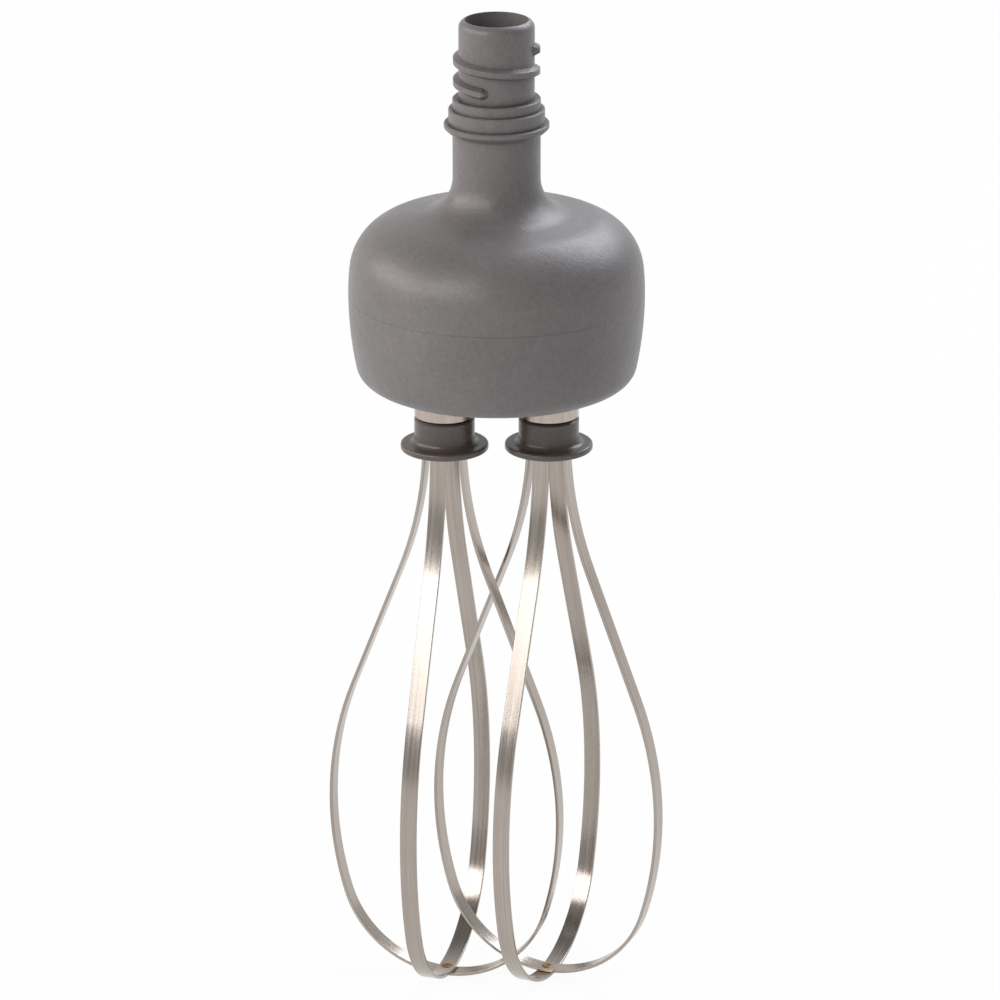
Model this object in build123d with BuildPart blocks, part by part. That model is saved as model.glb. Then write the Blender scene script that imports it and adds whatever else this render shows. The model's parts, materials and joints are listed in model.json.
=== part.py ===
from build123d import *
import math
import os

os.makedirs("parts", exist_ok=True)

# Frame: the origin lies on the neck axis in the top face of the coupling flange,
# +Z points up out of the neck mouth and +X runs through the two whisk axes.

# Driving dimensions, all in millimetres
body_r = 35.25
spacing_share = 0.7092
spindle_spacing = spacing_share * body_r
spindle_x = spindle_spacing / 2

# Neck and coupling
rim_z = 24.6
rim_round_r = 2.0
rim_flat = 0.1
tube_r = 8.94
bore_r = 7.5
bore_floor_z = -2.0
drive_bore_r = 6.8
bearing_lip_r = 5.2
bearing_lip_z = -22.0
ring_1_r = 10.4
ring_1_z = 5.9
ring_2_r = 11.37
ring_2_z = 3.45
flange_r = 12.43
flange_t = 2.0
flange_under = 0.85
flange_fillet_r = 1.15
neck_r = 10.38
edge_break = 0.25
thread_crest_r = 10.24
thread_pitch = 5.15
thread_base = 2.8
thread_crest = 1.3
thread_start_angle = -12.0
thread_turn = 621.0
thread_start_z = 17.77
thread_sink = 0.3
lug_sink = 0.5
lug_relief = 0.08

# Housing shell
seam_z = -42.0
bottom_z = -63.55
wall = 2.4
shoulder_z = -21.03
shoulder_tilt = 9.8
neck_blend_r = 9.0
corner_r = 13.9
side_r = 60.7
skirt_r = 90.0
bottom_corner_r = 4.9
seam_break = 0.05
floor_z = -61.0
floor_corner_r = 2.0
spigot_fit = 0.1
spigot_r = body_r - wall - spigot_fit
spigot_wall = 1.85
spigot_in_r = spigot_r - spigot_wall
spigot_top_z = -38.6
spigot_lead = 0.5
spigot_relief = 0.2
seal_groove_depth = 1.0
seal_groove_r = spigot_r - seal_groove_depth
seal_groove_drop = 1.6
seal_groove_z = seam_z + seal_groove_drop
seal_groove_h = 1.5
seal_squeeze = 0.1
seal_ring_fit = 0.02
seal_ring_round = 0.45
boss_r = 9.5
boss_bottom_z = -28.5
pin_boss_r = 4.5
pin_boss_z = -29.5
spindle_boss_r = 11.5
screw_boss_r = 4.4
screw_boss_z = -55.5
over = 1.0

# Bearing plate and screws
plate_fit = 0.5
plate_r = spigot_in_r - plate_fit
plate_top_z = -40.0
plate_bottom_z = -44.0
screw_inset = 3.9
screw_angle = math.radians(35.05)
screw_x = (spigot_in_r - screw_inset) * math.cos(screw_angle)
screw_y = (spigot_in_r - screw_inset) * math.sin(screw_angle)
screw_r = 1.5
screw_hole_r = 1.7
screw_tap_r = 1.55
screw_head_r = 2.8
screw_head_h = 2.0
screw_seat_z = -57.0
screw_top_z = -32.0
screw_end_gap = 0.5
slot_length = 3.4
slot_width = 0.8
slot_depth = 1.2
counterbore_r = 3.2
post_r = 3.4

# Gear train
pressure_angle = math.radians(25.0)
backlash = 0.1
addendum = 0.9
dedendum = 1.2
input_teeth = 10
wheel_teeth = 36
pinion_teeth = 12
output_teeth = 25
coarse_module = spindle_spacing / output_teeth
fine_share = 0.7
fine_module = fine_share * coarse_module
fine_top_z = -31.0
fine_bottom_z = -36.0
coarse_top_z = -45.5
coarse_bottom_z = -53.5
tip_gap = 0.7
pinion_hole_r = coarse_module * (pinion_teeth / 2 + addendum) + tip_gap
fine_centres = fine_module * (input_teeth + wheel_teeth) / 2
coarse_centres = coarse_module * (pinion_teeth + output_teeth) / 2
counter_x = (fine_centres**2 - coarse_centres**2 + spindle_x**2) / (2 * spindle_x)
counter_y = math.sqrt(fine_centres**2 - counter_x**2)

# Shafts and bearings
running_fit = 0.03
slip_fit = 0.02
end_gap = 0.05
side_gap = 0.2
shaft_chamfer = 0.4
input_r = 3.0
journal_r = 2.0
foot_wall = 0.06
pinion_core_r = fine_module * (input_teeth / 2 - dedendum) - foot_wall
shaft_shoulder_r = 3.9
shaft_top_z = -8.0
clip_z = -22.6
clip_t = 0.6
clip_r = 4.4
clip_groove_r = 2.5
clip_gap = 2.4
input_bush_r = 3.4
counter_pin_r = 2.5
pin_seat_top = 3.0
pin_seat_bottom = 4.0
pin_end_gap = 0.1
compound_hub_step = 0.4
compound_hub_r = coarse_module * (pinion_teeth / 2 - dedendum) + compound_hub_step
compound_sleeve_step = 0.6
compound_sleeve_r = coarse_module * (pinion_teeth / 2 - dedendum) - compound_sleeve_step
bearing_r = 6.5
bearing_top_z = -23.0
bearing_bottom_z = -28.0
ball_r = 0.9
ball_circle_r = 4.75
ball_count = 8
inner_race_r = 4.25
outer_race_r = 5.25
spindle_r = 5.0
spindle_tip_r = 4.2
spindle_flat = 8.8
spindle_flat_low_z = -54.7
spindle_flat_length = 11.0
spindle_step_z = -44.5
spindle_top_z = -37.8
spindle_clip_z = -39.4
spindle_clip_t = 0.8
spindle_clip_r = 5.9
spindle_clip_gap = 3.0
spindle_groove_r = 3.6
gear_hub_r = 6.6
gear_hub_low_z = -54.6
gear_hub_top_z = -44.6
head_r = 7.2
head_top_z = -60.0
head_bottom_z = -73.0
head_chamfer = 0.5
lower_bush_r = 7.0
upper_bush_r = 6.2
bush_stand = 0.4
boss_top_z = -55.0
seal_pocket_r = 9.5
seal_pocket_z = -59.75
seal_face_gap = 0.3
seal_lip_low = 0.9
seal_lip_high = 1.5
seal_lip_bevel = 0.5
seal_body_gap = 1.0
seal_web_z = 2.2

# Drive coupling
coupling_hub_r = 6.2
coupling_hub_bottom_z = -20.0
coupling_hub_top_z = -14.0
coupling_hex = 8.8
coupling_top_z = -3.0
coupling_chamfer = 0.6

# Whisks and the sockets that take them
socket_hex = 6.0
socket_depth = 13.0
socket_gap = 0.9
shank_hex = 5.9
shank_r = 3.0
spring_ring_lift = 8.5
spring_ring_z = head_bottom_z + spring_ring_lift
spring_ring_r = 2.52
spring_wire_r = 0.4
ring_groove_r = 2.1
ring_groove_h = 1.0
collar_r = 7.25
collar_gap = 0.05
collar_top_z = head_bottom_z - collar_gap
collar_flange_r = 10.56
collar_h = 6.45
collar_flange_t = 1.55
collar_flange_top_z = collar_top_z - collar_h
collar_flange_bottom_z = collar_flange_top_z - collar_flange_t
collar_edge = 0.4
collar_fillet_r = 1.5
flange_round_top = 0.5
flange_round_low = 0.4
leg_depth = 7.05
leg_top_z = collar_flange_bottom_z + leg_depth
leg_straight = 4.75
leg_r = 4.57
band_w = 4.1
band_t = 0.8
weld_gap = 0.12
pocket_fit = 0.06
tip_arc_r = 26.75
tip_arc_angle = 73.1
belly_arc_r = 85.17
flare_angle = 21.44
root_arc_r = 91.9
left_blade_angle = -17.5
right_blade_angle = -23.1


def save(piece, name):
    piece.part.label = name
    export_step(piece.part, f"parts/{name}.step")


def polar(center, radius, angle):
    a = math.radians(angle)
    return (center[0] + radius * math.cos(a), center[1] + radius * math.sin(a))


def ring(r_in, r_out, z_low, z_high, center=(0, 0)):
    """A plain ring or tube standing on the given centre."""
    with BuildPart() as made:
        with BuildSketch(Plane.XY.offset(z_low)):
            with Locations(center):
                Circle(r_out)
                Circle(r_in, mode=Mode.SUBTRACT)
        extrude(amount=z_high - z_low)
    return made


# The housing curves: a shoulder line, a corner arc and a side arc that stands upright at the seam
tilt = math.radians(shoulder_tilt)
side_center = (body_r - side_r, seam_z)
skirt_center = (body_r - skirt_r, seam_z)
corner_start = (neck_r - math.sin(tilt) * corner_r, shoulder_z - math.cos(tilt) * corner_r)
run_x = corner_start[0] - side_center[0]
run_z = corner_start[1] - side_center[1]
along = run_x * math.cos(tilt) - run_z * math.sin(tilt)
reach = run_x**2 + run_z**2
step = math.sqrt(along**2 - reach + (side_r - corner_r) ** 2) - along
corner_center = (corner_start[0] + math.cos(tilt) * step, corner_start[1] - math.sin(tilt) * step)
side_angle = math.degrees(math.atan2(corner_center[1] - side_center[1], corner_center[0] - side_center[0]))


def shoulder_height(r, inset):
    return shoulder_z - inset / math.cos(tilt) - (r - neck_r) * math.tan(tilt)


def shell_lines(inset, start_r):
    """Shoulder, corner and side of the upper shell, moved inwards by the inset."""
    up = 90 - shoulder_tilt
    Line((start_r, shoulder_height(start_r, inset)), polar(corner_center, corner_r - inset, up))
    CenterArc(corner_center, corner_r - inset, up, side_angle - up)
    CenterArc(side_center, side_r - inset, side_angle, -side_angle)


# Inner space of the upper housing, with its bosses left standing
screw_places = [(x, y) for x in (-screw_x, screw_x) for y in (-screw_y, screw_y)]
counter_place = (counter_x, counter_y)
with BuildPart() as upper_space:
    with BuildSketch(Plane.XZ):
        with BuildLine():
            shell_lines(wall, boss_r)
            Polyline(
                (body_r - wall, seam_z),
                (body_r - wall, seam_z - over),
                (0, seam_z - over),
                (0, boss_bottom_z),
                (boss_r, boss_bottom_z),
                (boss_r, shoulder_height(boss_r, wall)),
            )
        make_face()
    revolve(axis=Axis.Z)
    with BuildSketch(Plane.XY.offset(plate_top_z)):
        with Locations(*screw_places):
            Circle(post_r)
    extrude(amount=shoulder_z - plate_top_z, mode=Mode.SUBTRACT)
    with BuildSketch(Plane.XY.offset(pin_boss_z)):
        with Locations(counter_place):
            Circle(pin_boss_r)
    extrude(amount=shoulder_z - plate_top_z, mode=Mode.SUBTRACT)

# Upper housing: neck, coupling rings and the upper half of the bell
blend_z = shoulder_height(neck_r, 0) + neck_blend_r * (1 - math.sin(tilt)) / math.cos(tilt)
blend_center = (neck_r + neck_blend_r, blend_z)
blend_end = polar(blend_center, neck_blend_r, 270 - shoulder_tilt)
rim_angle = math.degrees(math.acos((bore_r + rim_flat - tube_r + rim_round_r) / rim_round_r))
rim_round_z = rim_z - rim_round_r * math.sin(math.radians(rim_angle))
with BuildPart() as upper_housing:
    with BuildSketch(Plane.XZ):
        with BuildLine():
            Polyline((0, seam_z), (0, rim_z), (bore_r + rim_flat, rim_z))
            CenterArc((tube_r - rim_round_r, rim_round_z), rim_round_r, rim_angle, -rim_angle)
            Polyline(
                (tube_r, rim_round_z),
                (tube_r, ring_1_z),
                (ring_1_r - edge_break, ring_1_z),
                (ring_1_r, ring_1_z - edge_break),
                (ring_1_r, ring_2_z),
                (ring_2_r - edge_break, ring_2_z),
                (ring_2_r, ring_2_z - edge_break),
                (ring_2_r, 0),
                (flange_r - edge_break, 0),
                (flange_r, -edge_break),
                (flange_r, flange_under - flange_t),
                (flange_r - flange_under, -flange_t),
                (neck_r + flange_fillet_r, -flange_t),
            )
            CenterArc((neck_r + flange_fillet_r, -flange_t - flange_fillet_r), flange_fillet_r, 90, 90)
            Line((neck_r, -flange_t - flange_fillet_r), (neck_r, blend_z))
            CenterArc(blend_center, neck_blend_r, 180, 90 - shoulder_tilt)
            shell_lines(0, blend_end[0])
            Polyline((body_r, seam_z), (0, seam_z))
        make_face()
    revolve(axis=Axis.Z)
    add(upper_space.part, mode=Mode.SUBTRACT)
    # stepped bore for the drive coupling and the input bearing
    with BuildSketch(Plane.XZ):
        Polygon(
            (0, rim_z + over),
            (bore_r, rim_z + over),
            (bore_r, bore_floor_z),
            (drive_bore_r, bore_floor_z),
            (drive_bore_r, bearing_lip_z),
            (bearing_lip_r, bearing_lip_z),
            (bearing_lip_r, bearing_top_z),
            (bearing_r, bearing_top_z),
            (bearing_r, boss_bottom_z - over),
            (0, boss_bottom_z - over),
            align=None,
        )
    revolve(axis=Axis.Z, mode=Mode.SUBTRACT)
    # screw holes and the seat of the counter pin
    with BuildSketch(Plane.XY.offset(plate_top_z)):
        with Locations(*screw_places):
            Circle(screw_tap_r)
    extrude(amount=screw_top_z + screw_end_gap - plate_top_z, mode=Mode.SUBTRACT)
    with BuildSketch(Plane.XY.offset(pin_boss_z)):
        with Locations(counter_place):
            Circle(counter_pin_r + slip_fit)
    extrude(amount=pin_seat_top, mode=Mode.SUBTRACT)
    # fine open line at the seam
    with BuildSketch(Plane.XZ):
        Polygon((body_r - seam_break, seam_z), (body_r + over, seam_z),
                (body_r + over, seam_z + over + seam_break), align=None)
    revolve(axis=Axis.Z, mode=Mode.SUBTRACT)

# Left-hand thread ridge with rounded ends
thread_h = thread_pitch * thread_turn / 360
root_r = tube_r - thread_sink
lug_r = tube_r - lug_sink
thread_root = thread_base + (thread_base - thread_crest) * (tube_r - root_r) / (thread_crest_r - tube_r)
with BuildPart() as ridge:
    with BuildLine() as ridge_path:
        Helix(pitch=thread_pitch, height=thread_h, radius=tube_r, lefthand=True)
    with BuildSketch(Plane(origin=ridge_path.line @ 0, x_dir=(1, 0, 0), z_dir=ridge_path.line % 0)):
        with BuildLine():
            Polyline(
                (root_r - tube_r, -thread_root / 2),
                (thread_crest_r - tube_r, -thread_crest / 2),
                (thread_crest_r - tube_r, thread_crest / 2),
                (root_r - tube_r, thread_root / 2),
                close=True,
            )
        make_face()
    sweep(path=ridge_path.wires()[0], is_frenet=True)
thread_end_angle = thread_start_angle + thread_turn
ridge_place = Location((0, 0, thread_start_z - thread_h), (0, 0, thread_end_angle))
with BuildPart() as whole_upper:
    add(upper_housing.part)
    add(ridge.part.moved(ridge_place))
    for angle, z in ((thread_start_angle, thread_start_z), (thread_end_angle, thread_start_z - thread_h)):
        out = polar((0, 0), 1, angle)
        with Locations(Plane(origin=(lug_r * out[0], lug_r * out[1], z), z_dir=(out[0], out[1], 0))):
            Cone(thread_root / 2, thread_crest / 2 - lug_relief, thread_crest_r - lug_relief - lug_r,
                 align=(Align.CENTER, Align.CENTER, Align.MIN))
save(whole_upper, "upper_housing")

# Inner space of the lower housing, with its bosses left standing
with BuildPart() as lower_space:
    with BuildSketch(Plane.XZ):
        with BuildLine():
            Polyline((0, spigot_top_z + over), (spigot_in_r, spigot_top_z + over),
                     (spigot_in_r, floor_z + floor_corner_r))
            CenterArc((spigot_in_r - floor_corner_r, floor_z + floor_corner_r), floor_corner_r, 0, -90)
            Polyline((spigot_in_r - floor_corner_r, floor_z), (0, floor_z), (0, spigot_top_z + over))
        make_face()
    revolve(axis=Axis.Z)
    with BuildSketch(Plane.XY.offset(floor_z)):
        with Locations((-spindle_x, 0), (spindle_x, 0)):
            Circle(spindle_boss_r)
        with Locations(counter_place):
            Circle(pin_boss_r)
    extrude(amount=boss_top_z - floor_z, mode=Mode.SUBTRACT)
    with BuildSketch(Plane.XY.offset(floor_z)):
        with Locations(*screw_places):
            Circle(screw_boss_r)
    extrude(amount=screw_boss_z - floor_z, mode=Mode.SUBTRACT)
    with BuildSketch(Plane.XY.offset(floor_z)):
        with Locations(*screw_places):
            Circle(post_r)
    extrude(amount=plate_bottom_z - floor_z, mode=Mode.SUBTRACT)

# Lower housing: the bowl with its spigot, seal groove and spindle openings
bottom_corner_z = bottom_z + bottom_corner_r
bottom_drop = seam_z - bottom_corner_z
bottom_corner_x = skirt_center[0] + math.sqrt((skirt_r - bottom_corner_r) ** 2 - bottom_drop**2)
skirt_angle = math.degrees(math.atan2(-bottom_drop, bottom_corner_x - skirt_center[0]))
with BuildPart() as lower_housing:
    with BuildSketch(Plane.XZ):
        with BuildLine():
            CenterArc(skirt_center, skirt_r, 0, skirt_angle)
            CenterArc((bottom_corner_x, bottom_corner_z), bottom_corner_r, skirt_angle, -90 - skirt_angle)
            Polyline(
                (bottom_corner_x, bottom_z),
                (0, bottom_z),
                (0, spigot_top_z),
                (spigot_r - spigot_lead, spigot_top_z),
                (spigot_r - spigot_relief, spigot_top_z - spigot_lead),
                (spigot_r - spigot_relief, seal_groove_z + seal_groove_h / 2),
                (seal_groove_r, seal_groove_z + seal_groove_h / 2),
                (seal_groove_r, seal_groove_z - seal_groove_h / 2),
                (spigot_r, seal_groove_z - seal_groove_h / 2),
                (spigot_r, seam_z),
                (body_r, seam_z),
            )
        make_face()
    revolve(axis=Axis.Z)
    add(lower_space.part, mode=Mode.SUBTRACT)
    with BuildSketch(Plane.XY.offset(bottom_z)):
        with Locations((-spindle_x, 0), (spindle_x, 0)):
            Circle(seal_pocket_r)
    extrude(amount=seal_pocket_z - bottom_z, mode=Mode.SUBTRACT)
    with BuildSketch(Plane.XY.offset(seal_pocket_z)):
        with Locations((-spindle_x, 0), (spindle_x, 0)):
            Circle(lower_bush_r + slip_fit)
    extrude(amount=boss_top_z - seal_pocket_z, mode=Mode.SUBTRACT)
    with BuildSketch(Plane.XY.offset(bottom_z)):
        with Locations(*screw_places):
            Circle(counterbore_r)
    extrude(amount=screw_seat_z - bottom_z, mode=Mode.SUBTRACT)
    with BuildSketch(Plane.XY.offset(screw_seat_z)):
        with Locations(*screw_places):
            Circle(screw_hole_r)
    extrude(amount=plate_bottom_z - screw_seat_z, mode=Mode.SUBTRACT)
    with BuildSketch(Plane.XY.offset(boss_top_z)):
        with Locations(counter_place):
            Circle(counter_pin_r + slip_fit)
    extrude(amount=-pin_seat_bottom, mode=Mode.SUBTRACT)
    with BuildSketch(Plane.XZ):
        Polygon((body_r - seam_break, seam_z), (body_r + over, seam_z),
                (body_r + over, seam_z - over - seam_break), align=None)
    revolve(axis=Axis.Z, mode=Mode.SUBTRACT)
save(lower_housing, "lower_housing")

# Seal ring in the groove of the spigot
seal_ring_w = spigot_r - seal_groove_r + seal_ring_fit
seal_ring_h = seal_groove_h - 2 * seal_squeeze
with BuildPart() as seam_seal:
    with BuildSketch(Plane.XZ):
        with Locations(((seal_groove_r + spigot_r) / 2 + seal_ring_fit, seal_groove_z)):
            RectangleRounded(seal_ring_w, seal_ring_h, seal_ring_round)
    revolve(axis=Axis.Z)
save(seam_seal, "seam_seal")

# Four long screws that clamp the housing halves and the bearing plate
with BuildPart() as housing_screws:
    with BuildSketch(Plane.XY.offset(screw_seat_z)):
        with Locations(*screw_places):
            Circle(screw_r)
    extrude(amount=screw_top_z - screw_seat_z)
    with BuildSketch(Plane.XY.offset(screw_seat_z - screw_head_h)):
        with Locations(*screw_places):
            Circle(screw_head_r)
    extrude(amount=screw_head_h)
    with BuildSketch(Plane.XY.offset(screw_seat_z - screw_head_h)):
        with Locations(*screw_places):
            Rectangle(slot_length, slot_width)
            Rectangle(slot_width, slot_length)
    extrude(amount=slot_depth, mode=Mode.SUBTRACT)
save(housing_screws, "housing_screws")

# Bearing plate between the housing halves
with BuildPart() as bearing_plate:
    with BuildSketch(Plane.XY.offset(plate_bottom_z)):
        Circle(plate_r)
        Circle(input_bush_r + slip_fit, mode=Mode.SUBTRACT)
        with Locations((-spindle_x, 0), (spindle_x, 0)):
            Circle(upper_bush_r + slip_fit, mode=Mode.SUBTRACT)
        with Locations(counter_place):
            Circle(pinion_hole_r, mode=Mode.SUBTRACT)
        with Locations(*screw_places):
            Circle(screw_hole_r, mode=Mode.SUBTRACT)
    extrude(amount=plate_top_z - plate_bottom_z)
save(bearing_plate, "bearing_plate")


# Gears with involute flanks, each flank an arc through three points of the involute
def inv(a):
    return math.tan(a) - a


def gear_lines(teeth, module, phase):
    """Closed outline of a gear with a tooth centred on the phase angle, in degrees."""
    pitch_r = module * teeth / 2
    base_r = pitch_r * math.cos(pressure_angle)
    tip_r = pitch_r + addendum * module
    foot_r = pitch_r - dedendum * module
    low_r = max(base_r, foot_r)
    half_at_pitch = math.pi / (2 * teeth) - backlash / (4 * pitch_r)

    def half(r):
        return half_at_pitch + inv(pressure_angle) - inv(math.acos(min(1.0, base_r / r)))

    def spot(r, mid, side):
        a = math.radians(phase) + 2 * math.pi * mid / teeth + side * half(max(r, base_r))
        return (r * math.cos(a), r * math.sin(a))

    mean_r = (low_r + tip_r) / 2
    for k in range(teeth):
        if foot_r < low_r - 0.02:
            Line(spot(foot_r, k, -1), spot(low_r, k, -1))
            Line(spot(low_r, k, 1), spot(foot_r, k, 1))
            start_r = low_r
            end_r = foot_r
        else:
            start_r = low_r
            end_r = low_r
        ThreePointArc(spot(start_r, k, -1), spot(mean_r, k, -1), spot(tip_r, k, -1))
        Line(spot(tip_r, k, -1), spot(tip_r, k, 1))
        ThreePointArc(spot(tip_r, k, 1), spot(mean_r, k, 1), spot(start_r, k, 1))
        Line(spot(end_r, k, 1), spot(end_r, k + 1, -1))


def mesh_phase(direction, teeth_1, phase_1, teeth_2):
    """Phase of the second gear so that its tooth gap takes the teeth of the first."""
    return direction + 180 - (180 - teeth_1 * (direction - phase_1)) / teeth_2


to_counter = math.degrees(math.atan2(counter_y, counter_x))
to_right = math.degrees(math.atan2(-counter_y, spindle_x - counter_x))
input_phase = to_counter
wheel_phase = mesh_phase(to_counter, input_teeth, input_phase, wheel_teeth)
pinion_phase = to_right
right_phase = mesh_phase(to_right, pinion_teeth, pinion_phase, output_teeth)
left_phase = mesh_phase(180.0, output_teeth, right_phase, output_teeth)

# Input shaft with its pinion cut in one piece
clip_low_z = clip_z - clip_t / 2
clip_high_z = clip_z + clip_t / 2
with BuildPart() as input_pinion_shaft:
    with BuildSketch(Plane.XZ):
        Polygon(
            (0, plate_bottom_z),
            (journal_r, plate_bottom_z),
            (journal_r, fine_bottom_z),
            (pinion_core_r, fine_bottom_z),
            (pinion_core_r, fine_top_z),
            (shaft_shoulder_r, fine_top_z),
            (shaft_shoulder_r, bearing_bottom_z - end_gap),
            (input_r, bearing_bottom_z - end_gap),
            (input_r, clip_low_z - end_gap),
            (clip_groove_r, clip_low_z - end_gap),
            (clip_groove_r, clip_high_z + end_gap),
            (input_r, clip_high_z + end_gap),
            (input_r, shaft_top_z - shaft_chamfer),
            (input_r - shaft_chamfer, shaft_top_z),
            (0, shaft_top_z),
            align=None,
        )
    revolve(axis=Axis.Z)
    with BuildSketch(Plane.XY.offset(fine_bottom_z)):
        with BuildLine():
            gear_lines(input_teeth, fine_module, input_phase)
        make_face()
    extrude(amount=fine_top_z - fine_bottom_z)
save(input_pinion_shaft, "input_pinion_shaft")

# Shaft clip above the input bearing, open on one side
with BuildPart() as input_shaft_clip:
    with BuildSketch(Plane.XY.offset(clip_low_z)):
        Circle(clip_r)
        Circle(clip_groove_r + slip_fit, mode=Mode.SUBTRACT)
        with Locations((clip_r, 0)):
            Rectangle(2 * clip_r, clip_gap, mode=Mode.SUBTRACT)
    extrude(amount=clip_t)
save(input_shaft_clip, "input_shaft_clip")

# Input ball bearing
ball_z = (bearing_top_z + bearing_bottom_z) / 2
for name, r_in, r_out in (
    ("input_bearing_inner_race", input_r + slip_fit, inner_race_r),
    ("input_bearing_outer_race", outer_race_r, bearing_r),
):
    with BuildPart() as race:
        with BuildSketch(Plane.XZ):
            with Locations(((r_in + r_out) / 2, ball_z)):
                Rectangle(r_out - r_in, bearing_top_z - bearing_bottom_z)
            with Locations((ball_circle_r, ball_z)):
                Circle(ball_r + running_fit, mode=Mode.SUBTRACT)
        revolve(axis=Axis.Z)
    save(race, name)
with BuildPart() as input_bearing_balls:
    with Locations((0, 0, ball_z)):
        with PolarLocations(ball_circle_r, ball_count):
            Sphere(ball_r)
save(input_bearing_balls, "input_bearing_balls")

# Drive coupling on top of the input shaft: a hub with a hex stub
with BuildPart() as drive_coupling:
    with BuildSketch(Plane.XY.offset(coupling_hub_bottom_z)):
        Circle(coupling_hub_r)
        Circle(input_r + slip_fit, mode=Mode.SUBTRACT)
    extrude(amount=coupling_hub_top_z - coupling_hub_bottom_z)
    with BuildSketch(Plane.XY.offset(coupling_hub_top_z)):
        RegularPolygon(coupling_hex / 2, 6, major_radius=False)
        Circle(input_r + slip_fit, mode=Mode.SUBTRACT)
    extrude(amount=shaft_top_z - coupling_hub_top_z)
    with BuildSketch(Plane.XY.offset(shaft_top_z)):
        RegularPolygon(coupling_hex / 2, 6, major_radius=False)
    extrude(amount=coupling_top_z - shaft_top_z)
    chamfer(drive_coupling.faces().sort_by(Axis.Z)[-1].edges(), coupling_chamfer)
save(drive_coupling, "drive_coupling")

# Bush for the lower end of the input shaft
input_lower_bush = ring(journal_r + running_fit, input_bush_r, plate_bottom_z, plate_top_z)
save(input_lower_bush, "input_lower_bush")

# Counter pin and the compound gear that turns on it
pin_bottom_z = boss_top_z - pin_seat_bottom + pin_end_gap
pin_top_z = pin_boss_z + pin_seat_top - pin_end_gap
with BuildPart() as counter_pin:
    with BuildSketch(Plane.XY.offset(pin_bottom_z)):
        with Locations(counter_place):
            Circle(counter_pin_r)
    extrude(amount=pin_top_z - pin_bottom_z)
save(counter_pin, "counter_pin")

with BuildPart() as compound_gear:
    with BuildSketch(Plane((counter_x, counter_y, fine_bottom_z))):
        with BuildLine():
            gear_lines(wheel_teeth, fine_module, wheel_phase)
        make_face()
    extrude(amount=fine_top_z - fine_bottom_z)
    with BuildSketch(Plane((counter_x, counter_y, coarse_bottom_z))):
        with BuildLine():
            gear_lines(pinion_teeth, coarse_module, pinion_phase)
        make_face()
    extrude(amount=coarse_top_z - coarse_bottom_z)
    with BuildSketch(Plane((counter_x, counter_y, coarse_top_z))):
        Circle(compound_hub_r)
    extrude(amount=fine_bottom_z - coarse_top_z)
    with BuildSketch(Plane((counter_x, counter_y, boss_top_z + side_gap))):
        Circle(compound_sleeve_r)
    extrude(amount=pin_boss_z - boss_top_z - 2 * side_gap)
    with BuildSketch(Plane((counter_x, counter_y, boss_top_z))):
        Circle(counter_pin_r + running_fit)
    extrude(amount=pin_boss_z - boss_top_z, mode=Mode.SUBTRACT)
save(compound_gear, "compound_gear")

# The whisk loop: one half of the centre line, from the bottom centre up to the leg
tip_center = (0.0, tip_arc_r)
belly_center = polar(tip_center, tip_arc_r - belly_arc_r, tip_arc_angle - 90)
flare_start = polar(belly_center, belly_arc_r, flare_angle)
flare_end_x = leg_r + root_arc_r * (1 - math.cos(math.radians(flare_angle)))
flare_rise = (flare_start[0] - flare_end_x) / math.tan(math.radians(flare_angle))
root_center = polar((flare_end_x, flare_start[1] + flare_rise), root_arc_r, flare_angle)
leg_start = root_center[1]
whisk_bottom_z = leg_top_z - leg_straight - leg_start


def band_side(offset, leg_height):
    """One side of the band on the +x half, moved out from the centre line by the offset."""
    start = tip_arc_angle - 90
    CenterArc(tip_center, tip_arc_r + offset, -90, tip_arc_angle)
    CenterArc(belly_center, belly_arc_r + offset, start, flare_angle - start)
    flare_top = polar(root_center, offset - root_arc_r, flare_angle)
    Line(polar(belly_center, belly_arc_r + offset, flare_angle), flare_top)
    CenterArc(root_center, root_arc_r - offset, 180 + flare_angle, -flare_angle)
    Line((leg_r + offset, leg_start), (leg_r + offset, leg_height))


def make_band(center_x, angle, lift):
    """A steel strip bent to a closed loop, standing in the plane of the given azimuth."""
    foot_z = whisk_bottom_z + lift
    out = polar((0, 0), 1, angle)
    leg_height = leg_top_z - foot_z
    plane = Plane(origin=(center_x, 0, foot_z), x_dir=(out[0], out[1], 0), z_dir=(out[1], -out[0], 0))
    with BuildPart() as band:
        with BuildSketch(plane):
            with BuildLine():
                band_side(band_t / 2, leg_height)
                Line((leg_r + band_t / 2, leg_height), (leg_r - band_t / 2, leg_height))
                band_side(-band_t / 2, leg_height)
                Line((0, -band_t / 2), (0, band_t / 2))
            make_face()
            mirror(about=Plane.YZ)
        extrude(amount=band_w / 2, both=True)
    return band


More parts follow.
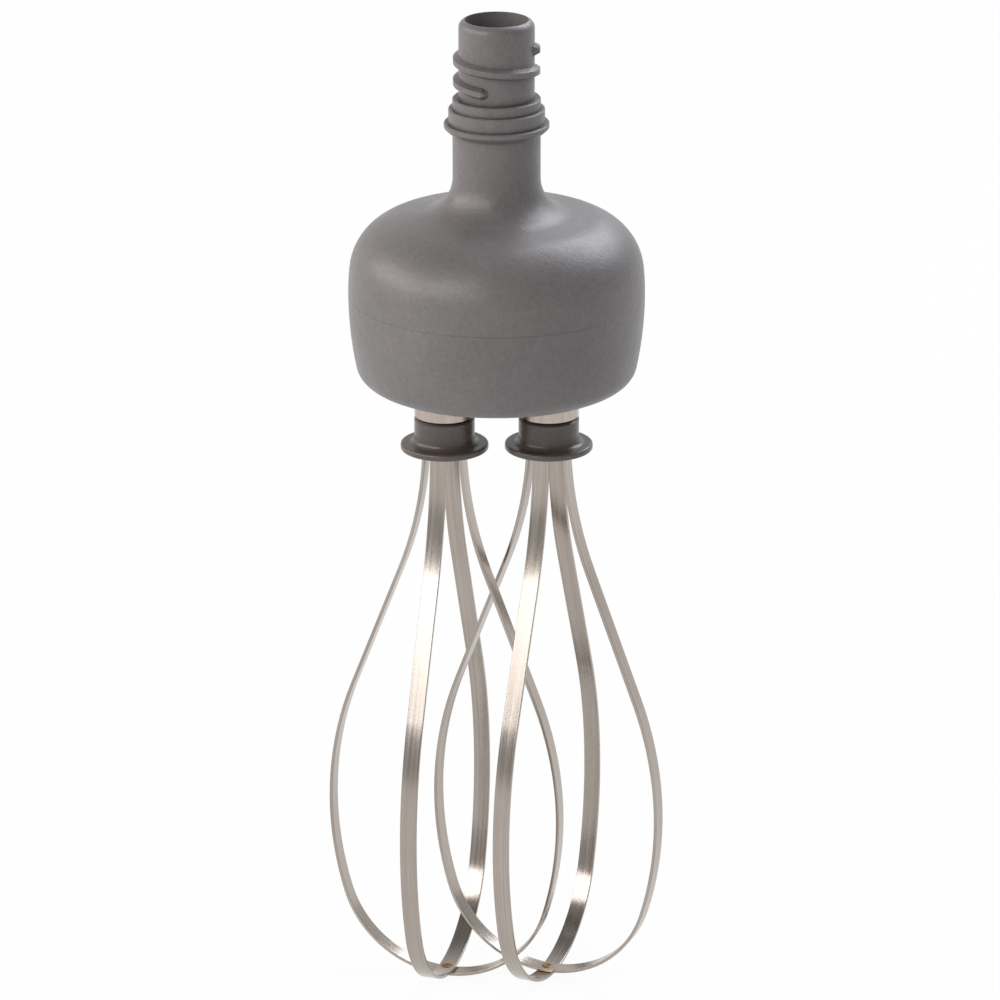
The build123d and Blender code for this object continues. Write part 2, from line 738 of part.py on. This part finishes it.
# The pieces that come in pairs, left and right
fillet_center = (collar_r + collar_fillet_r, collar_flange_top_z + collar_fillet_r)
round_top = (collar_flange_r - flange_round_top, collar_flange_top_z - flange_round_top)
round_low = (collar_flange_r - flange_round_low, collar_flange_bottom_z + flange_round_low)
sides = (
    ("left", -spindle_x, left_phase, left_blade_angle, left_blade_angle + 90),
    ("right", spindle_x, right_phase, right_blade_angle + 90, right_blade_angle),
)
for side, x, phase, outer_angle, inner_angle in sides:
    # spindle with its bright head, a flatted seat for the gear and a hex socket
    with BuildPart() as spindle:
        with BuildSketch(Plane.XZ.move(Location((x, 0, 0)))):
            Polygon(
                (0, head_bottom_z),
                (head_r - head_chamfer, head_bottom_z),
                (head_r, head_bottom_z + head_chamfer),
                (head_r, head_top_z - shaft_chamfer),
                (head_r - shaft_chamfer, head_top_z),
                (spindle_r, head_top_z),
                (spindle_r, spindle_step_z),
                (spindle_tip_r, spindle_step_z),
                (spindle_tip_r, spindle_clip_z - end_gap),
                (spindle_groove_r, spindle_clip_z - end_gap),
                (spindle_groove_r, spindle_clip_z + spindle_clip_t + end_gap),
                (spindle_tip_r, spindle_clip_z + spindle_clip_t + end_gap),
                (spindle_tip_r, spindle_top_z - shaft_chamfer),
                (spindle_tip_r - shaft_chamfer, spindle_top_z),
                (0, spindle_top_z),
                align=None,
            )
        revolve(axis=Axis((x, 0, 0), (0, 0, 1)))
        with BuildSketch(Plane.XY.offset(spindle_flat_low_z)):
            with Locations((x, 0)):
                Rectangle(2 * spindle_r + over, 2 * spindle_r + over)
                Rectangle(2 * spindle_r + over, spindle_flat, mode=Mode.SUBTRACT)
        extrude(amount=spindle_flat_length, mode=Mode.SUBTRACT)
        with BuildSketch(Plane.XY.offset(head_bottom_z)):
            with Locations((x, 0)):
                RegularPolygon(socket_hex / 2, 6, major_radius=False)
        extrude(amount=socket_depth, mode=Mode.SUBTRACT)
    save(spindle, f"{side}_spindle")

    with BuildPart() as output_gear:
        with BuildSketch(Plane((x, 0, coarse_bottom_z))):
            with BuildLine():
                gear_lines(output_teeth, coarse_module, phase)
            make_face()
        extrude(amount=coarse_top_z - coarse_bottom_z)
        with BuildSketch(Plane((x, 0, gear_hub_low_z))):
            Circle(gear_hub_r)
        extrude(amount=gear_hub_top_z - gear_hub_low_z)
        with BuildSketch(Plane((x, 0, boss_top_z))):
            Circle(spindle_r + slip_fit)
            Rectangle(2 * spindle_r + over, spindle_flat + 2 * slip_fit, mode=Mode.INTERSECT)
        extrude(amount=plate_bottom_z - boss_top_z, mode=Mode.SUBTRACT)
    save(output_gear, f"{side}_output_gear")

    lower_bush = ring(spindle_r + running_fit, lower_bush_r, seal_pocket_z, boss_top_z, (x, 0))
    save(lower_bush, f"{side}_lower_bush")
    upper_bush = ring(spindle_tip_r + running_fit, upper_bush_r, plate_bottom_z - bush_stand,
                      plate_top_z + bush_stand, (x, 0))
    save(upper_bush, f"{side}_upper_bush")

    with BuildPart() as spindle_clip:
        with BuildSketch(Plane((x, 0, spindle_clip_z))):
            Circle(spindle_clip_r)
            Circle(spindle_groove_r + slip_fit, mode=Mode.SUBTRACT)
            with Locations((spindle_clip_r, 0)):
                Rectangle(2 * spindle_clip_r, spindle_clip_gap, mode=Mode.SUBTRACT)
        extrude(amount=spindle_clip_t)
    save(spindle_clip, f"{side}_spindle_clip")

    # shaft seal around the spindle head
    with BuildPart() as spindle_seal:
        with BuildSketch(Plane.XZ.move(Location((x, 0, 0)))):
            Polygon(
                (head_r + running_fit, bottom_z + seal_lip_low),
                (head_r + seal_lip_bevel, bottom_z + seal_face_gap),
                (seal_pocket_r - slip_fit, bottom_z + seal_face_gap),
                (seal_pocket_r - slip_fit, seal_pocket_z - seal_squeeze),
                (head_r + seal_body_gap, seal_pocket_z - seal_squeeze),
                (head_r + seal_body_gap, bottom_z + seal_web_z),
                (head_r + running_fit, bottom_z + seal_lip_high),
                align=None,
            )
        revolve(axis=Axis((x, 0, 0), (0, 0, 1)))
    save(spindle_seal, f"{side}_spindle_seal")

    # whisk: shank with a hex end, spring ring, moulded collar and two bent bands
    with BuildPart() as shank:
        with BuildSketch(Plane.XY.offset(collar_flange_top_z)):
            with Locations((x, 0)):
                Circle(shank_r)
        extrude(amount=collar_top_z - collar_flange_top_z)
        with BuildSketch(Plane.XY.offset(collar_top_z)):
            with Locations((x, 0)):
                RegularPolygon(shank_hex / 2, 6, major_radius=False)
        extrude(amount=head_bottom_z + socket_depth - socket_gap - collar_top_z)
        with BuildSketch(Plane.XZ.move(Location((x, 0, 0)))):
            with Locations(((ring_groove_r + shank_hex) / 2, spring_ring_z)):
                Rectangle(shank_hex - ring_groove_r, ring_groove_h)
        revolve(axis=Axis((x, 0, 0), (0, 0, 1)), mode=Mode.SUBTRACT)
    save(shank, f"{side}_whisk_shank")

    with BuildPart() as spring_ring:
        with BuildSketch(Plane.XZ.move(Location((x, 0, 0)))):
            with Locations((spring_ring_r, spring_ring_z)):
                Circle(spring_wire_r)
        revolve(axis=Axis((x, 0, 0), (0, 0, 1)))
    save(spring_ring, f"{side}_whisk_ring")

    with BuildPart() as collar:
        with BuildSketch(Plane.XZ.move(Location((x, 0, 0)))):
            with BuildLine():
                Polyline(
                    (shank_r + slip_fit, collar_flange_top_z),
                    (shank_r + slip_fit, collar_top_z),
                    (collar_r - collar_edge, collar_top_z),
                    (collar_r, collar_top_z - collar_edge),
                    (collar_r, collar_flange_top_z + collar_fillet_r),
                )
                CenterArc(fillet_center, collar_fillet_r, 180, 90)
                Line((collar_r + collar_fillet_r, collar_flange_top_z), (round_top[0], collar_flange_top_z))
                CenterArc(round_top, flange_round_top, 90, -90)
                Line((collar_flange_r, round_top[1]), (collar_flange_r, round_low[1]))
                CenterArc(round_low, flange_round_low, 0, -90)
                Polyline(
                    (round_low[0], collar_flange_bottom_z),
                    (0, collar_flange_bottom_z),
                    (0, collar_flange_top_z),
                    (shank_r + slip_fit, collar_flange_top_z),
                )
            make_face()
        revolve(axis=Axis((x, 0, 0), (0, 0, 1)))
        with BuildSketch(Plane((x, 0, collar_flange_bottom_z))):
            with Locations(Rotation(0, 0, inner_angle)):
                with PolarLocations(leg_r, 4):
                    Rectangle(band_t + 2 * pocket_fit, band_w + 2 * pocket_fit)
        extrude(amount=leg_top_z - collar_flange_bottom_z, mode=Mode.SUBTRACT)
    save(collar, f"{side}_whisk_collar")

    save(make_band(x, outer_angle, 0.0), f"{side}_whisk_outer_band")
    save(make_band(x, inner_angle, band_t + weld_gap), f"{side}_whisk_inner_band")
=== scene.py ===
import json
import math

import bmesh
import bpy
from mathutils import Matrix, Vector


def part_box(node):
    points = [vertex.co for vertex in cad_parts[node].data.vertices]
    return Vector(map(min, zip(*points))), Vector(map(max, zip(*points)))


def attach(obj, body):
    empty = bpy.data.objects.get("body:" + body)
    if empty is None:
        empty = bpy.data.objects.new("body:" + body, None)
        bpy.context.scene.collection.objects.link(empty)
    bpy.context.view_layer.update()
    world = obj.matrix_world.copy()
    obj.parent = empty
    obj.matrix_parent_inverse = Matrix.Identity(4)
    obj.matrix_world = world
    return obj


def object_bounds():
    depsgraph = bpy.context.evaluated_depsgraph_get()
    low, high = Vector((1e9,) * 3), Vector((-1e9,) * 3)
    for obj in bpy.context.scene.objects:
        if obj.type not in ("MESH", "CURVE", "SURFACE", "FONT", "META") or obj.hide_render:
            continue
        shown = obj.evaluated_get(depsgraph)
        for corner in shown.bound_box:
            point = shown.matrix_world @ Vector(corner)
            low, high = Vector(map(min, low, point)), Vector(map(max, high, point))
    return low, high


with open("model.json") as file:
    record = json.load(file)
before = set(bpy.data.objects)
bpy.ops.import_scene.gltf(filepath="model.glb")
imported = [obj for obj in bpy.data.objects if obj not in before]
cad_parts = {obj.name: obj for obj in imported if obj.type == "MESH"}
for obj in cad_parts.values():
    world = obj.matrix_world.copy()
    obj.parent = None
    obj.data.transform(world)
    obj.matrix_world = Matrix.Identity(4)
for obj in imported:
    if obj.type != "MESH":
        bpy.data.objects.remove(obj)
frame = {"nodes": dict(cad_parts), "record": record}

cad_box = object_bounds()
nodes = frame["nodes"]

# Sizes in metres
MM = 0.001
left_low, left_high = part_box("left_spindle")
right_low, right_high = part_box("right_spindle")
WHISK_X = {
    "left": (left_low[0] + left_high[0]) / 2,
    "right": (right_low[0] + right_high[0]) / 2,
}
FLOOR_Z = cad_box[0][2]
BAND_THICKNESS = 0.8 * MM
BAND_EDGE = 0.14 * MM

# Direction in degrees about Z in which each band spreads out
BLADE_ANGLE = {
    "left_whisk_outer_band": -17.5,
    "left_whisk_inner_band": 72.5,
    "right_whisk_outer_band": 66.9,
    "right_whisk_inner_band": -23.1,
}


# Node helpers
class Nodes:
    """Short calls to add nodes to a node tree."""

    def __init__(self, tree):
        self.tree = tree

    def link(self, value, socket):
        """Links an output to the socket, or writes a plain value there."""
        if hasattr(value, "is_linked"):
            self.tree.links.new(value, socket)
        else:
            socket.default_value = value

    def node(self, kind, inputs=None, **settings):
        made = self.tree.nodes.new(kind)
        for key, value in settings.items():
            setattr(made, key, value)
        for key, value in (inputs or {}).items():
            self.link(value, made.inputs[key])
        return made

    def math(self, operation, a, b=0.0, c=0.0):
        return self.node("ShaderNodeMath", {0: a, 1: b, 2: c}, operation=operation).outputs[0]

    def spread(self, value, low, high, to_low=0.0, to_high=1.0, curve="LINEAR"):
        """Maps low..high to to_low..to_high, and holds the end values outside."""
        inputs = {"Value": value, "From Min": low, "From Max": high, "To Min": to_low, "To Max": to_high}
        made = self.node("ShaderNodeMapRange", inputs, clamp=True, interpolation_type=curve)
        return made.outputs["Result"]


class Shader(Nodes):
    """A material with one Principled shader."""

    def __init__(self, name, **sockets):
        self.material = bpy.data.materials.new(name)
        self.material.use_nodes = True
        super().__init__(self.material.node_tree)
        self.principled = self.tree.nodes["Principled BSDF"]
        for socket, value in sockets.items():
            self.set(socket, value)

    def set(self, socket, value):
        self.link(value, self.principled.inputs[socket])

    def coords(self):
        return self.node("ShaderNodeTexCoord").outputs["Object"]

    def vector(self, operation, a, b):
        return self.node("ShaderNodeVectorMath", {0: a, 1: b}, operation=operation).outputs

    def scaled(self, vector, scale):
        return self.vector("MULTIPLY", vector, scale)["Vector"]

    def noise(self, vector, scale, detail=3.0, rough=0.55):
        inputs = {"Vector": vector, "Scale": scale, "Detail": detail, "Roughness": rough}
        return self.node("ShaderNodeTexNoise", inputs).outputs["Fac"]

    def mix(self, factor, a, b):
        return self.node("ShaderNodeMix", {0: factor, 6: a, 7: b}, data_type="RGBA").outputs[2]

    def bump(self, height, distance):
        inputs = {"Height": height, "Distance": distance, "Strength": 1.0}
        self.set("Normal", self.node("ShaderNodeBump", inputs).outputs["Normal"])


def rgb(r, g, b):
    return (r, g, b, 1.0)


# Materials
# Reach and tone of the painted shade that darkens the plastics in creases and under ledges
SHADE_REACH = 7.0 * MM
PAINTED_SHADE_TONE = rgb(0.01, 0.01, 0.01)
SPECK_TONE = rgb(0.42, 0.41, 0.42)
SCUFF_TONE = rgb(0.5, 0.49, 0.49)
BAND_DARK = rgb(0.328, 0.283, 0.246)
BAND_LIGHT = rgb(0.500, 0.452, 0.412)
BAND_STAIN = rgb(0.344, 0.289, 0.25)
HEAT_GOLD = rgb(0.40, 0.28, 0.16)
HEAT_BROWN = rgb(0.13, 0.062, 0.03)
WELD_DARK = rgb(0.1, 0.05, 0.025)
WELD_LIGHT = rgb(0.36, 0.22, 0.1)


def moulded_plastic(name, dark, light, roughness, grain):
    """Satin moulded plastic: cloudy colour, painted shade in creases and under ledges, specks, scuffs
    and a grained surface.
    """
    s = Shader(name)
    at = s.coords()
    broad = s.math("MULTIPLY", s.noise(at, 45.0, 4.0), 0.6)
    mottle = s.math("MULTIPLY_ADD", s.noise(at, 750.0, 4.0, 0.7), 0.9, broad)
    cloud = s.mix(s.spread(mottle, 0.5, 1.0), dark, light)

    # Painted shade: ambient occlusion darkens the colour in creases, grooves and under the flange, where
    # shade falls
    hidden = s.node("ShaderNodeAmbientOcclusion", {"Distance": SHADE_REACH}, samples=8).outputs["AO"]
    painted_crease_shade = s.spread(hidden, 0.4, 0.95, 0.7, 0.0)
    speck = s.math("MULTIPLY", s.spread(s.noise(at, 2600.0, 2.0), 0.56, 0.72), 0.07)
    scratch_at = s.scaled(at, (60.0, 60.0, 900.0))
    scratch = s.spread(s.noise(scratch_at, 1.0, 4.0, 0.7), 0.66, 0.8)
    patch = s.spread(s.noise(at, 90.0, 2.0), 0.5, 0.72)
    scuff = s.math("MULTIPLY", scratch, patch)

    # The painted crease shade goes into the colour here, under the specks
    speckled = s.mix(speck, s.mix(painted_crease_shade, cloud, PAINTED_SHADE_TONE), SPECK_TONE)
    s.set("Base Color", s.mix(s.math("MULTIPLY", scuff, 0.2), speckled, SCUFF_TONE))
    satin = s.math("MULTIPLY_ADD", s.noise(at, 160.0, 3.0), 0.14, roughness - 0.07)
    s.set("Roughness", s.math("ADD", satin, s.math("MULTIPLY", scuff, 0.08)))
    s.set("Specular IOR Level", 0.5)
    s.bump(s.noise(at, 1300.0, 3.0, 0.65), grain)
    return s.material


def brushed_band(name, side, azimuth):
    """Brushed strip: streaks along the strip, slow stains, and a tint round the weld at the bottom."""
    s = Shader(name, Metallic=1.0)
    at = s.coords()
    a = math.radians(azimuth)
    across = s.vector("DOT_PRODUCT", at, (-math.sin(a), math.cos(a), 0.0))["Value"]
    along = s.vector("DOT_PRODUCT", at, (math.cos(a), math.sin(a), 1.0))["Value"]
    line_at = s.node("ShaderNodeCombineXYZ", {0: across, 1: along}).outputs[0]
    fine = s.noise(s.scaled(line_at, (5200.0, 26.0, 0.0)), 1.0, 3.0, 0.6)
    broad = s.noise(s.scaled(line_at, (1500.0, 14.0, 0.0)), 1.0, 2.0)
    streak = s.math("MULTIPLY_ADD", fine, 0.6, s.math("MULTIPLY", broad, 0.4))
    steel = s.mix(s.spread(streak, 0.32, 0.68), BAND_DARK, BAND_LIGHT)
    stain = s.spread(s.noise(at, 38.0, 4.0, 0.6), 0.42, 0.72, 0.0, 0.45)
    worn = s.mix(stain, steel, BAND_STAIN)

    weld = (WHISK_X[side], 0.0, FLOOR_Z + BAND_THICKNESS)
    reach = s.vector("DISTANCE", at, weld)["Value"]
    wander = s.math("MULTIPLY_ADD", s.noise(at, 500.0, 2.0), 2.2 * MM, reach)
    gold = s.mix(s.spread(wander, 2.2 * MM, 4.2 * MM, 0.8, 0.0), worn, HEAT_GOLD)
    brown = s.mix(s.spread(wander, 1.8 * MM, 2.8 * MM, 0.85, 0.0), gold, HEAT_BROWN)
    s.set("Base Color", brown)
    s.set("Roughness", s.spread(streak, 0.3, 0.7, 0.13, 0.26))
    s.bump(streak, 0.018 * MM)
    return s.material


def turned_steel(name, tone, roughness):
    """Turned bright steel: fine rings about the axis and a slow change of tone."""
    s = Shader(name, Metallic=1.0)
    at = s.coords()
    rings = s.noise(s.scaled(at, (90.0, 90.0, 4200.0)), 1.0, 3.0)
    slow = s.noise(s.scaled(at, (420.0, 420.0, 24.0)), 1.0, 3.0)
    dark = rgb(*(0.72 * c for c in tone))
    s.set("Base Color", s.mix(s.spread(slow, 0.35, 0.7), rgb(*tone), dark))
    s.set("Roughness", s.spread(rings, 0.3, 0.7, roughness - 0.06, roughness + 0.08))
    s.bump(rings, 0.02 * MM)
    return s.material


def plain_metal(name, tone, roughness, scale):
    """Inner metal pieces: a mottled tone with a fine worked surface."""
    s = Shader(name, Metallic=1.0)
    at = s.coords()
    mottle = s.noise(at, scale, 4.0)
    dark = rgb(*(0.7 * c for c in tone))
    s.set("Base Color", s.mix(s.spread(mottle, 0.35, 0.7), rgb(*tone), dark))
    s.set("Roughness", s.spread(mottle, 0.3, 0.7, roughness - 0.05, roughness + 0.08))
    s.bump(s.noise(at, 8 * scale, 2.0), 0.02 * MM)
    return s.material


def weld_metal(name):
    """Burnt metal of a spot weld."""
    s = Shader(name, Metallic=1.0)
    burn = s.noise(s.coords(), 900.0, 4.0, 0.65)
    s.set("Base Color", s.mix(s.spread(burn, 0.35, 0.65), WELD_DARK, WELD_LIGHT))
    s.set("Roughness", s.spread(burn, 0.3, 0.7, 0.3, 0.5))
    s.bump(burn, 0.06 * MM)
    return s.material


# Plastics by slot: darker colour, lighter colour, roughness, depth of the grain in millimetres
PLASTICS = {
    "housing_plastic": (rgb(0.127, 0.117, 0.116), rgb(0.176, 0.162, 0.161), 0.40, 0.09),
    "collar_plastic": (rgb(0.080, 0.062, 0.055), rgb(0.106, 0.084, 0.075), 0.30, 0.03),
    "coupling_plastic": (rgb(0.012, 0.012, 0.013), rgb(0.022, 0.022, 0.023), 0.42, 0.03),
    "gear_nylon": (rgb(0.62, 0.58, 0.47), rgb(0.7, 0.66, 0.55), 0.42, 0.02),
    "seal_rubber": (rgb(0.010, 0.010, 0.010), rgb(0.018, 0.018, 0.018), 0.62, 0.03),
}
# Inner metals by slot: colour, roughness, scale of the mottle
METALS = {
    "spring_steel": ((0.3, 0.3, 0.31), 0.36, 400.0),
    "screw_steel": ((0.5, 0.5, 0.5), 0.32, 500.0),
    "plate_aluminium": ((0.66, 0.67, 0.68), 0.38, 250.0),
    "bush_bronze": ((0.5, 0.31, 0.13), 0.45, 900.0),
}
slot_material = {"bright_steel": turned_steel("bright_steel", (0.56, 0.48, 0.43), 0.3)}
for slot, (dark, light, roughness, grain) in PLASTICS.items():
    slot_material[slot] = moulded_plastic(slot, dark, light, roughness, grain * MM)
for slot, (tone, roughness, scale) in METALS.items():
    slot_material[slot] = plain_metal(slot, tone, roughness, scale)


def dress(obj, material):
    obj.data.materials.clear()
    obj.data.materials.append(material)


def round_edges(obj, width):
    """Rounded long edges, as a drawn strip has them."""
    weld = obj.modifiers.new("weld", "WELD")
    weld.merge_threshold = 0.001 * MM
    edge = obj.modifiers.new("edge", "BEVEL")
    edge.width = width
    edge.segments = 3
    edge.limit_method = "ANGLE"
    edge.angle_limit = math.radians(60.0)
    normals = obj.modifiers.new("normals", "WEIGHTED_NORMAL")
    normals.mode = "FACE_AREA"


for part in frame["record"]["subparts"]:
    name = part["node"]
    if name in BLADE_ANGLE:
        dress(nodes[name], brushed_band(name + "_steel", name.split("_")[0], BLADE_ANGLE[name]))
        round_edges(nodes[name], BAND_EDGE)
    else:
        dress(nodes[name], slot_material[part["material_slot"]])


# Weld spot on top of each crossing of the bands
WELD_PROFILE = [  # radius and height in millimetres, from the axis on top round to the axis below
    (0.0, 0.05), (0.45, 0.05), (0.75, 0.14), (1.0, 0.17), (1.25, 0.1), (1.38, -0.05), (0.0, -0.05),
]
WELD_STEPS = 48


def lathe(name, profile, steps):
    """A closed body of revolution about Z from (radius, height) points, both ends on the axis."""
    mesh = bpy.data.meshes.new(name)
    shape = bmesh.new()
    points = [shape.verts.new((r, 0.0, z)) for r, z in profile]
    edges = [shape.edges.new(pair) for pair in zip(points, points[1:])]
    bmesh.ops.spin(
        shape, geom=points + edges, cent=(0, 0, 0), axis=(0, 0, 1), angle=2 * math.pi, steps=steps
    )
    bmesh.ops.remove_doubles(shape, verts=shape.verts, dist=1e-7)
    bmesh.ops.recalc_face_normals(shape, faces=shape.faces)
    for face in shape.faces:
        face.smooth = True
    shape.to_mesh(mesh)
    shape.free()
    obj = bpy.data.objects.new(name, mesh)
    bpy.context.scene.collection.objects.link(obj)
    return obj


weld_tone = weld_metal("weld_metal")
for side, x in WHISK_X.items():
    spot = lathe(f"{side}_weld_spot", [(r * MM, z * MM) for r, z in WELD_PROFILE], WELD_STEPS)
    inner_low, inner_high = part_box(f"{side}_whisk_inner_band")
    spot.location = (x, 0.0, inner_low[2] + BAND_THICKNESS)
    dress(spot, weld_tone)
    bpy.context.view_layer.update()
    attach(spot, f"{side}_drive")


# Camera at the photo's viewing angle
CAMERA_PLACE = (0.80 * MM, -1163.1 * MM, 323.2 * MM)
CAMERA_TILT = math.radians(70.25)
CAMERA_LENS = 184.64
SENSOR_WIDTH = 36.0
CLIP_END = 20.0

camera_data = bpy.data.cameras.new("camera")
camera_data.sensor_width = SENSOR_WIDTH
camera_data.lens = CAMERA_LENS
camera_data.clip_end = CLIP_END
camera = bpy.data.objects.new("camera", camera_data)
camera.location = CAMERA_PLACE
camera.rotation_euler = (CAMERA_TILT, 0.0, 0.0)
bpy.context.scene.collection.objects.link(camera)
bpy.context.scene.camera = camera
bpy.context.scene.view_settings.view_transform = "Standard"

# White floor that keeps a soft shadow, white in mirrors and through glass as well
FLOOR_HALF = 12.0
FLOOR_GAP = 0.2 * MM
FLOOR_PAINT = rgb(0.72, 0.72, 0.72)
WHITE_STRENGTH = 1.0
SEEN_SHARE = 0.95


def seen_rays(n):
    """1 for the rays that see the background: from the camera, off metal and through glass."""
    path = n.node("ShaderNodeLightPath").outputs
    beyond = n.math("MAXIMUM", path["Is Glossy Ray"], path["Is Transmission Ray"])
    return n.math("MAXIMUM", path["Is Camera Ray"], beyond)


def white_floor():
    material = bpy.data.materials.new("floor_white")
    material.use_nodes = True
    n = Nodes(material.node_tree)
    n.tree.nodes.clear()
    share = n.math("MULTIPLY", seen_rays(n), SEEN_SHARE)
    paint = n.node("ShaderNodeBsdfDiffuse", {"Color": FLOOR_PAINT}).outputs[0]
    glow = n.node("ShaderNodeEmission", {"Strength": WHITE_STRENGTH}).outputs[0]
    mixed = n.node("ShaderNodeMixShader", {0: share, 1: paint, 2: glow}).outputs[0]
    n.node("ShaderNodeOutputMaterial", {"Surface": mixed})
    return material


def add_floor(half):
    """A large square floor just below the object."""
    mesh = bpy.data.meshes.new("floor")
    corners = [(-half, -half, 0), (half, -half, 0), (half, half, 0), (-half, half, 0)]
    mesh.from_pydata(corners, [], [(0, 1, 2, 3)])
    obj = bpy.data.objects.new("floor", mesh)
    obj.location = (0.0, 0.0, FLOOR_Z - FLOOR_GAP)
    bpy.context.scene.collection.objects.link(obj)
    obj.data.materials.append(white_floor())


add_floor(FLOOR_HALF)

# World: a plain fill for every ray, stronger from the sides than from above, strongest from behind
SIDE_FILL = 0.47
TOP_FILL = 0.27
BACK_FILL = 0.4

world = bpy.data.worlds.new("studio")
bpy.context.scene.world = world
world.use_nodes = True
sky = Nodes(world.node_tree)
background = sky.tree.nodes["Background"].inputs
toward = sky.node("ShaderNodeTexCoord").outputs["Generated"]
parts = sky.node("ShaderNodeSeparateXYZ", {0: toward}).outputs
around = sky.spread(parts["Z"], 0.1, 0.8, SIDE_FILL, TOP_FILL, "SMOOTHSTEP")
behind = sky.spread(parts["Y"], 0.3, 0.9, 0.0, BACK_FILL, "SMOOTHSTEP")
sky.link(rgb(1.0, 1.0, 1.0), background["Color"])
sky.link(sky.math("ADD", around, behind), background["Strength"])

# Lamps: one soft box at the front left, one at the left and one behind at the right
BELL = (0.0, 0.0, -0.04)
WHISKS = (0.0, 0.0, -0.12)
WHITE_LIGHT = (1.0, 1.0, 1.0)
WARM_LIGHT = (1.0, 0.94, 0.915)
COOL_LIGHT = (0.88, 0.915, 1.0)


def soft_box(name, colour, power, size, place, target):
    """An area lamp of the given width and height in metres that faces its target."""
    data = bpy.data.lights.new(name, "AREA")
    data.color = colour
    data.shape = "RECTANGLE"
    data.size, data.size_y = size
    data.energy = power
    lamp = bpy.data.objects.new(name, data)
    lamp.location = place
    away = Vector(place) - Vector(target)
    lamp.rotation_euler = away.to_track_quat("Z", "Y").to_euler()
    bpy.context.scene.collection.objects.link(lamp)


soft_box("front_left_box", WHITE_LIGHT, 7.5, (0.75, 0.75), (-0.75, -0.98, 0.66), WHISKS)
soft_box("left_box", WARM_LIGHT, 12.0, (1.6, 0.5), (-1.28, -0.1, 0.42), BELL)
soft_box("right_box", COOL_LIGHT, 16.5, (1.1, 0.8), (0.66, 0.73, 0.85), BELL)
